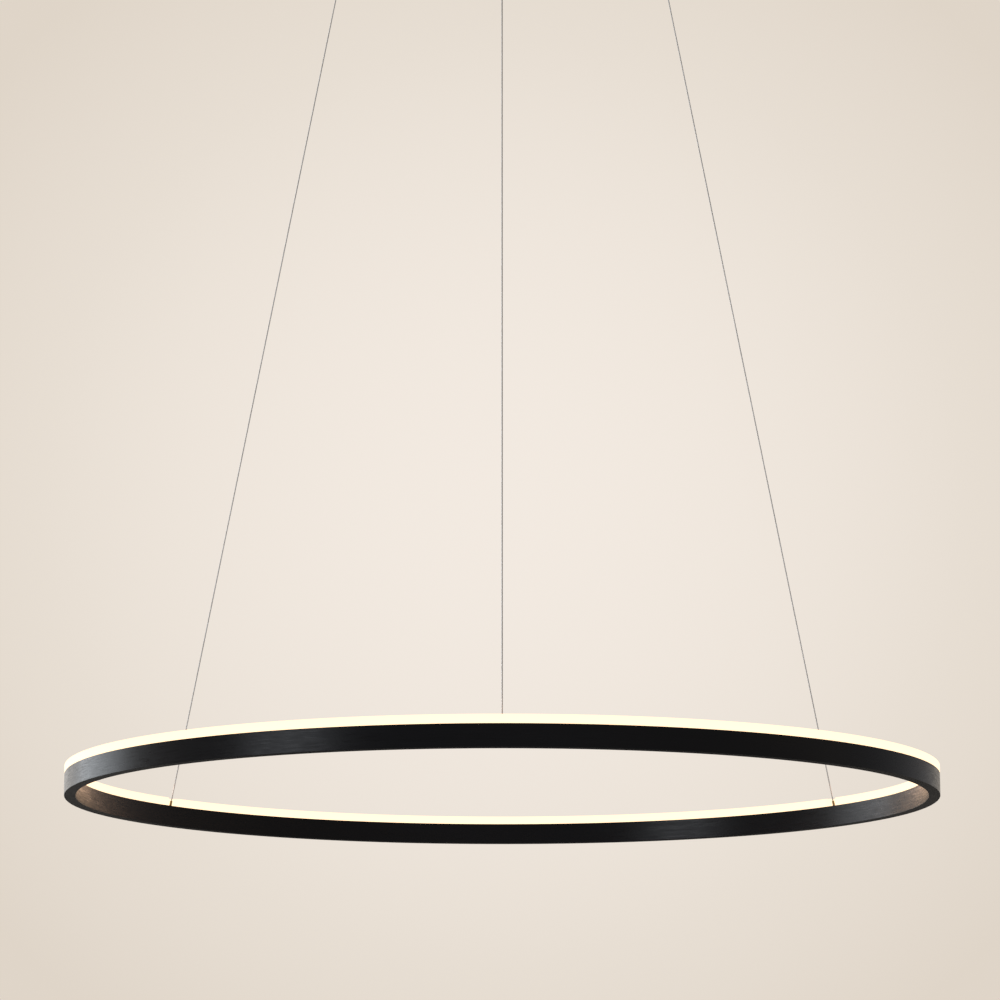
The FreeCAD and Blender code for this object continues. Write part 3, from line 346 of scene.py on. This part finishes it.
def rubbery(name, colour):
    """Soft lead insulation: satin, with a faint drawn grain"""
    material, tree, shader = new_material(name)
    drawn = noise(tree, stretch(tree), 900, 3.0)
    tone = ramp(tree, drawn, ((0.3, shade(colour, 0.85)), (0.7, shade(colour, 1.12))))
    tree.links.new(tone, shader.inputs["Base Color"])
    tree.links.new(spread(tree, drawn, 0.38, 0.55), shader.inputs["Roughness"])
    bump(tree, shader, drawn, 0.2, 0.00003)
    return material


def earth_stripe():
    """Green insulation with a yellow stripe that winds round it"""
    material, tree, shader = new_material("earth_lead")
    bands = put(
        tree, "ShaderNodeTexWave", wave_type="BANDS", bands_direction="DIAGONAL",
        in_Scale=60.0, in_Distortion=1.5, in_Detail=1.0,
    )
    tree.links.new(stretch(tree), bands.inputs["Vector"])
    tone = ramp(tree, bands.outputs["Fac"], (
        (0.48, (0.03, 0.26, 0.05)),
        (0.54, (0.78, 0.62, 0.03)),
    ))
    tree.links.new(tone, shader.inputs["Base Color"])
    shader.inputs["Roughness"].default_value = 0.45
    drawn = noise(tree, stretch(tree), 900, 3.0)
    bump(tree, shader, drawn, 0.2, 0.00003)
    return material


MATERIALS = {
    "black_aluminium": brushed_ring(),
    "opal_acrylic": opal(),
    "strip_board": moulded("strip_board", (0.86, 0.86, 0.82), 0.4),
    "emitter": moulded("emitter", (0.9, 0.78, 0.3), 0.25, 0.6),
    "steel_cable": wire_rope("steel_cable", (0.375, 0.38, 0.39)),
    "brass_part": turned_metal("brass_part", (0.19, 0.15, 0.075), 0.34),
    "nickel_part": turned_metal("nickel_part", (0.56, 0.54, 0.51), 0.3),
    "screw_steel": zinc("screw_steel", (0.55, 0.55, 0.55), 900),
    "spring_steel": turned_metal("spring_steel", (0.45, 0.45, 0.46), 0.3),
    "canopy_paint": painted("canopy_paint", (0.008, 0.008, 0.009)),
    "plate_steel": zinc("plate_steel", (0.6, 0.6, 0.58)),
    "black_nylon": moulded("black_nylon", (0.014, 0.014, 0.015), 0.42),
    "white_nylon": moulded("white_nylon", (0.74, 0.73, 0.69), 0.42),
    "driver_plastic": moulded("driver_plastic", (0.78, 0.78, 0.75), 0.48),
    "green_board": moulded("green_board", (0.02, 0.17, 0.06), 0.35),
    "component": moulded("component", (0.05, 0.05, 0.055), 0.4),
    "brown_lead": rubbery("brown_lead", (0.13, 0.05, 0.022)),
    "blue_lead": rubbery("blue_lead", (0.02, 0.07, 0.3)),
    "earth_lead": earth_stripe(),
    "red_lead": rubbery("red_lead", (0.36, 0.018, 0.014)),
    "black_lead": rubbery("black_lead", (0.012, 0.012, 0.012)),
}

for part in frame["record"]["subparts"]:
    mesh = nodes[part["node"]].data
    mesh.materials.clear()
    mesh.materials.append(MATERIALS[part["material_slot"]])


# Pieces

def mesh_piece(name, bm, slot, body):
    """A finished piece from its mesh"""
    bmesh.ops.recalc_face_normals(bm, faces=bm.faces)
    mesh = bpy.data.meshes.new(name)
    bm.to_mesh(mesh)
    bm.free()
    piece = bpy.data.objects.new(name, mesh)
    bpy.context.scene.collection.objects.link(piece)
    mesh.materials.append(MATERIALS[slot])
    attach(piece, body)
    return piece


def smooth_line(points):
    """The points of one open smooth spline along a route's control points"""
    curve = bpy.data.curves.new("route", "CURVE")
    curve.dimensions = "3D"
    curve.resolution_u = 24
    spline = curve.splines.new("NURBS")
    spline.points.add(len(points) - 1)
    for control, point in zip(spline.points, points):
        control.co = (*point, 1)
    spline.order_u = 3
    spline.use_endpoint_u = True
    holder = bpy.data.objects.new("route", curve)
    bpy.context.scene.collection.objects.link(holder)
    bpy.context.view_layer.update()
    line = bpy.data.meshes.new_from_object(holder)
    found = [vertex.co.copy() for vertex in line.vertices]
    bpy.data.objects.remove(holder)
    bpy.data.curves.remove(curve)
    bpy.data.meshes.remove(line)
    return found


def evenly(points, step):
    """Points along a line at an even step"""
    lengths = [0.0]
    for first, second in zip(points, points[1:]):
        lengths.append(lengths[-1] + (second - first).length)
    count = max(2, round(lengths[-1] / step))
    found = []
    span = 0
    for index in range(count + 1):
        want = lengths[-1] * index / count
        while span < len(points) - 2 and lengths[span + 1] < want:
            span += 1
        run = lengths[span + 1] - lengths[span]
        share = (want - lengths[span]) / run if run else 0
        found.append(points[span].lerp(points[span + 1], share))
    return found, lengths[-1]


def tube(bm, centres, radius, sides, across):
    """A closed tube through centres, each with its two cross directions"""
    rings = []
    for centre, (first, second) in zip(centres, across):
        ring = []
        for side in range(sides):
            turn = 2 * math.pi * side / sides
            offset = first * (math.cos(turn) * radius) + second * (math.sin(turn) * radius)
            ring.append(bm.verts.new(centre + offset))
        rings.append(ring)
    for low, high in zip(rings, rings[1:]):
        for side in range(sides):
            after = (side + 1) % sides
            bm.faces.new((low[side], low[after], high[after], high[side])).smooth = True
    for ring in (rings[0], rings[-1]):
        bm.faces.new(ring)


def wire_cable(name, azimuth):
    """A steel cable of six strands laid round a core"""
    low = TERMINAL_FOOT - SPAN
    end_run = 12 * CABLE_RADIUS
    rises = (CABLE_TAIL, CABLE_TAIL - end_run, low + end_run, low)
    route = [cable_point(azimuth, rise) for rise in rises]
    points, length = evenly(smooth_line(route), CABLE_STEP)
    axis = (points[-1] - points[0]).normalized()
    side = axis.orthogonal().normalized()
    other = axis.cross(side)
    strand = CABLE_RADIUS / 3
    bm = bmesh.new()
    tube(bm, [points[0], points[-1]], strand, 6, [(side, other)] * 2)
    for index in range(CABLE_STRANDS):
        centres = []
        for step, point in enumerate(points):
            run = length * step / (len(points) - 1)
            turn = 2 * math.pi * (index / CABLE_STRANDS + run / CABLE_LAY)
            centres.append(point + (side * math.cos(turn) + other * math.sin(turn)) * (2 * strand))
        tube(bm, centres, strand, 6, [(side, other)] * len(centres))
    piece = mesh_piece(name + "_cable_strands", bm, "steel_cable", name + "_hanger")
    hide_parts(name + "_cable")


def spring_coil(name, azimuth):
    """A gripper's coil spring at rest, wound from its foot up towards its cap"""
    foot = cable_point(azimuth, SPRING_FOOT + SPRING_WIRE / 2)
    up = (cable_point(azimuth, 1) - cable_point(azimuth, 0)).normalized()
    side = up.orthogonal().normalized()
    other = up.cross(side)
    rise = SPRING_TOP - SPRING_FOOT - SPRING_WIRE
    steps = SPRING_TURNS * 32
    centres = []
    across = []
    for step in range(steps + 1):
        turn = 2 * math.pi * SPRING_TURNS * step / steps
        outwards = side * math.cos(turn) + other * math.sin(turn)
        centres.append(foot + up * (rise * step / steps) + outwards * SPRING_RADIUS)
        across.append((outwards, up))
    bm = bmesh.new()
    tube(bm, centres, SPRING_WIRE / 2, 10, across)
    piece = mesh_piece(name + "_spring_coil", bm, "spring_steel", name + "_hanger")
    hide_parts(name + "_gripper_spring")
    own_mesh(piece)


def pick(kind, wanted):
    """Selects only the faces or edges of the mesh in edit mode that a test wants"""
    bpy.ops.mesh.select_all(action="DESELECT")
    bpy.ops.mesh.select_mode(type=kind)
    shape = bmesh.from_edit_mesh(bpy.context.object.data)
    for element in shape.faces if kind == "FACE" else shape.edges:
        if wanted(element):
            element.select_set(True)
    bmesh.update_edit_mesh(bpy.context.object.data)


def knurled_screw():
    """A thumb screw along Z, its head above the origin: a knurled rim and a dished end"""
    bpy.ops.object.select_all(action="DESELECT")
    bpy.ops.mesh.primitive_cylinder_add(
        vertices=SCREW_FLUTES * 2, radius=SCREW_HEAD_RADIUS, depth=SCREW_HEAD_LENGTH,
        location=(0, 0, SCREW_HEAD_LENGTH / 2),
    )
    head = bpy.context.object
    bpy.ops.object.transform_apply(location=True)
    bpy.ops.object.mode_set(mode="EDIT")
    step = math.pi / SCREW_FLUTES

    def is_flute(face):
        centre = face.calc_center_median()
        return abs(face.normal.z) < 0.5 and int(math.atan2(centre.y, centre.x) // step) % 2 == 0

    pick("FACE", is_flute)
    bpy.ops.mesh.inset(
        thickness=SCREW_FLUTE_LAND, depth=-SCREW_FLUTE_DEPTH, use_individual=True,
    )
    pick("FACE", lambda face: face.normal.z > 0.9)
    bpy.ops.mesh.inset(thickness=SCREW_RIM, depth=0)
    bpy.ops.mesh.inset(thickness=SCREW_DISH_SLOPE, depth=-SCREW_DISH_DEPTH)

    def is_rim(edge):
        level = edge.verts[0].co.z
        at_end = min(abs(level), abs(level - SCREW_HEAD_LENGTH)) < 1e-6
        return at_end and all(
            vertex.co.xy.length > SCREW_HEAD_RADIUS * 0.98 and abs(vertex.co.z - level) < 1e-6
            for vertex in edge.verts
        )

    pick("EDGE", is_rim)
    bpy.ops.mesh.bevel(offset=SCREW_HEAD_EDGE, segments=2)
    bpy.ops.object.mode_set(mode="OBJECT")
    bpy.ops.mesh.primitive_cylinder_add(
        vertices=24, radius=SCREW_SHANK_RADIUS, depth=SCREW_GRIP, location=(0, 0, -SCREW_GRIP / 2),
    )
    bpy.ops.object.transform_apply(location=True)
    bpy.ops.object.mode_set(mode="EDIT")
    pick("EDGE", lambda edge: all(vertex.co.z < -SCREW_GRIP * 0.9 for vertex in edge.verts))
    bpy.ops.mesh.bevel(offset=SCREW_TIP_EDGE, segments=2)
    bpy.ops.object.mode_set(mode="OBJECT")
    head.select_set(True)
    bpy.context.view_layer.objects.active = head
    bpy.ops.object.join()
    return head


def thumb_screws():
    """The canopy's three knurled side screws, each one turned to its place"""
    model = knurled_screw()
    copies = []
    for azimuth in SCREW_AZIMUTHS:
        copy = model.copy()
        copy.data = model.data.copy()
        outwards = Vector((math.sin(azimuth), -math.cos(azimuth), 0))
        place = Matrix.Translation(outwards * CANOPY_RADIUS + Vector((0, 0, SCREW_Z)))
        copy.data.transform(place @ outwards.to_track_quat("Z", "Y").to_matrix().to_4x4())
        bpy.context.scene.collection.objects.link(copy)
        copies.append(copy)
    bpy.data.objects.remove(model)
    bpy.ops.object.select_all(action="DESELECT")
    for copy in copies:
        copy.select_set(True)
    piece = copies[0]
    piece.name = "knurled_thumb_screws"
    bpy.context.view_layer.objects.active = piece
    bpy.ops.object.join()
    bpy.ops.object.shade_smooth_by_angle(angle=math.radians(30))
    piece.data.materials.clear()
    piece.data.materials.append(MATERIALS["canopy_paint"])
    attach(piece, "canopy")
    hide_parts("thumb_screws")


for hanger, azimuth in AZIMUTHS.items():
    wire_cable(hanger, azimuth)
    spring_coil(hanger, azimuth)
thumb_screws()


# Stage

def direct_rays(tree):
    """A value of 1 where the backdrop is seen straight, in gloss or through glass"""
    rays = put(tree, "ShaderNodeLightPath")
    seen = math_node(tree, "MAXIMUM", rays.outputs["Is Camera Ray"], rays.outputs["Is Glossy Ray"])
    return math_node(tree, "MAXIMUM", seen, rays.outputs["Is Transmission Ray"])


def floor():
    """A pale floor far below"""
    bpy.ops.mesh.primitive_plane_add(size=80, location=(0, 0, FLOOR_Z))
    ground = bpy.context.object
    ground.name = "floor"
    material, tree, shader = new_material("floor")
    shader.inputs["Base Color"].default_value = (0.78, 0.72, 0.65, 1)
    shader.inputs["Roughness"].default_value = 0.9
    shader.inputs["Emission Color"].default_value = (0.396, 0.357, 0.313, 1)
    tree.links.new(direct_rays(tree), shader.inputs["Emission Strength"])
    ground.data.materials.append(material)


def mix_shaders(tree, share, first, second):
    """The first shader where the share is 0, and the second where it is 1"""
    node = put(tree, "ShaderNodeMixShader")
    for slot, socket in enumerate((share, first.outputs[0], second.outputs[0])):
        tree.links.new(socket, node.inputs[slot])
    return node


def backdrop():
    """A pale, warm backdrop, lighter in the middle, in an even light

    In gloss alone it is dimmer at the far right, which keeps the ring's right end dark.
    """
    world = bpy.data.worlds.new("backdrop")
    bpy.context.scene.world = world
    world.use_nodes = True
    tree = world.node_tree
    tree.nodes.clear()
    place = put(tree, "ShaderNodeTexCoord")
    near_middle = put(tree, "ShaderNodeVectorMath", operation="DOT_PRODUCT")
    near_middle.inputs[1].default_value = (0, math.cos(VIEW_RISE), math.sin(VIEW_RISE))
    tree.links.new(place.outputs["Generated"], near_middle.inputs[0])
    share = spread(tree, near_middle.outputs["Value"], 0, 1, 0.985, 1.0)
    seen = ramp(tree, share, (
        (0.0, (0.74, 0.665, 0.58)),
        (0.5, (0.8, 0.73, 0.65)),
        (1.0, (0.89, 0.82, 0.75)),
    ))
    shown = put(tree, "ShaderNodeBackground", in_Strength=1.0)
    tree.links.new(seen, shown.inputs["Color"])
    dim_side = put(tree, "ShaderNodeVectorMath", operation="DOT_PRODUCT")
    dim_side.inputs[1].default_value = (math.sin(DIM_BEARING), math.cos(DIM_BEARING), 0)
    tree.links.new(place.outputs["Generated"], dim_side.inputs[0])
    dimness = math_node(
        tree, "MULTIPLY",
        spread(tree, dim_side.outputs["Value"], 0, 1, 0.84, 0.93),
        put(tree, "ShaderNodeLightPath").outputs["Is Glossy Ray"],
    )
    dim = put(tree, "ShaderNodeBackground", in_Color=(0.44, 0.43, 0.44, 1), in_Strength=1.0)
    sides = mix_shaders(tree, dimness, shown, dim)
    lit = put(tree, "ShaderNodeBackground", in_Color=(1, 0.97, 0.93, 1), in_Strength=0.42)
    whole = mix_shaders(tree, direct_rays(tree), lit, sides)
    output = put(tree, "ShaderNodeOutputWorld")
    tree.links.new(whole.outputs[0], output.inputs["Surface"])


def soft_lamp(name, place, target, size, power, colour):
    """A large soft lamp turned to a target"""
    lamp = bpy.data.lights.new(name, "AREA")
    lamp.shape = "RECTANGLE"
    lamp.size, lamp.size_y = size
    lamp.energy = power
    lamp.color = colour
    holder = bpy.data.objects.new(name, lamp)
    holder.location = place
    holder.rotation_euler = (Vector(target) - Vector(place)).to_track_quat("-Z", "Y").to_euler()
    holder.visible_camera = False
    bpy.context.scene.collection.objects.link(holder)


def camera():
    """The photograph's camera: below the ring, looking slightly up"""
    data = bpy.data.cameras.new("camera")
    data.sensor_width = 36
    data.lens = VIEW_LENS
    data.clip_end = 200
    holder = bpy.data.objects.new("camera", data)
    holder.location = (0, -VIEW_DISTANCE, RING_Z - VIEW_DROP)
    holder.rotation_euler = (math.radians(90) + VIEW_RISE, 0, VIEW_TURN)
    bpy.context.scene.collection.objects.link(holder)
    bpy.context.scene.camera = holder


def bar_glow():
    """Small lamps over the opal bar, which throw its warm light on the ring's inner face"""
    for index in range(GLOW_LAMPS):
        azimuth = 2 * math.pi * (index + 0.5) / GLOW_LAMPS
        outwards = Vector((math.sin(azimuth), -math.cos(azimuth), 0))
        place = outwards * GLOW_RADIUS + Vector((0, 0, RING_Z + GLOW_RISE))
        target = place - outwards - Vector((0, 0, 0.12))
        soft_lamp("bar_glow", place, target, (0.23, 0.012), 0.024, (1.0, 0.54, 0.3))


floor()
backdrop()
middle = (0, 0, RING_Z)
for name, place, size, power, colour in (
    ("window", (-5.7, 4.1, -0.15), (3.6, 5.2), 232, (0.86, 0.93, 1.0)),
    ("window_edge", (-3.05, 6.3, -0.15), (3.1, 5.2), 35, (0.94, 0.97, 1.0)),
    ("side_window", (-4.9, -3.5, -0.3), (2.3, 3.5), 180, (0.9, 0.94, 1.0)),
    ("front", (1.0, -3.4, -3.2), (2.5, 2.5), 30, (1.0, 0.96, 0.92)),
):
    soft_lamp(name, place, middle, size, power, colour)
bar_glow()
camera()
bpy.context.scene.view_settings.view_transform = "Standard"
